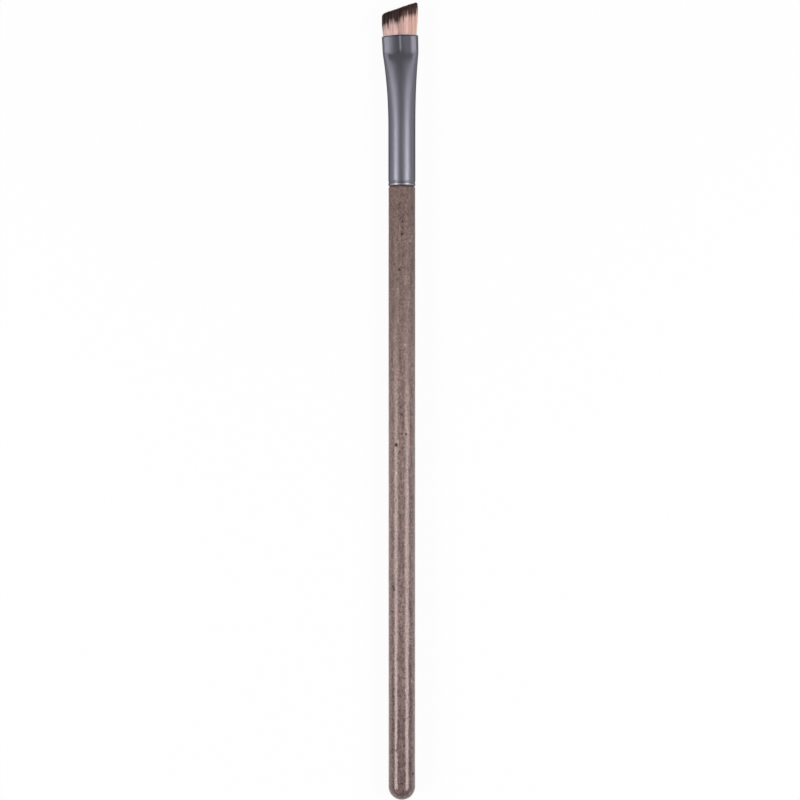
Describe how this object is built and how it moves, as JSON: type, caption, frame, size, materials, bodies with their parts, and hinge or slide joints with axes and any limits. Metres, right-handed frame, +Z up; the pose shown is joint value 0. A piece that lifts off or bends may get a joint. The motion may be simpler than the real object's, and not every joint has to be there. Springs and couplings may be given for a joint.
{
  "type": "eyeshadow brush",
  "caption": "Slim eye make-up brush: straight round handle with a domed butt, long metal ferrule pressed flat at its mouth, and short flat dark-tipped hair cut on a slant.",
  "frame": {"origin": "on the table, under the middle of the brush's length, on the handle's axis", "axes": "+X along the brush from the butt to the hair tips, +Z up at the broad face of the hair, -Y towards the long side of the slant cut"},
  "size_m": [0.17, 0.0079, 0.0058],
  "materials": {
    "handle_composite": "moulded fibre composite, flecked brown, satin lacquer",
    "ferrule_metal": "gunmetal anodised, satin",
    "hair": "peach synthetic filament, dyed dark brown at the tips",
    "binding_thread": "twisted off-white thread",
    "resin": "set amber resin",
    "glue": "set pale glue"
  },
  "bodies": {
    "brush_body": {"handle": "handle_composite", "ferrule": "ferrule_metal", "tuft_root": "hair", "root_tie": "binding_thread", "root_plug": "resin", "tenon_glue": "glue"},
    "tuft": {"bristle_tuft": "hair"}
  },
  "joints": [
    {"name": "tuft_flex", "type": "hinge", "parent": "brush_body", "child": "tuft", "pos_m": [0.07777, 0.00041, 0.00288], "axis": [-0.0401, 0.9992, 0], "range_deg": [-18, 18], "stiffness_Nm_per_rad": 0.004}
  ]
}
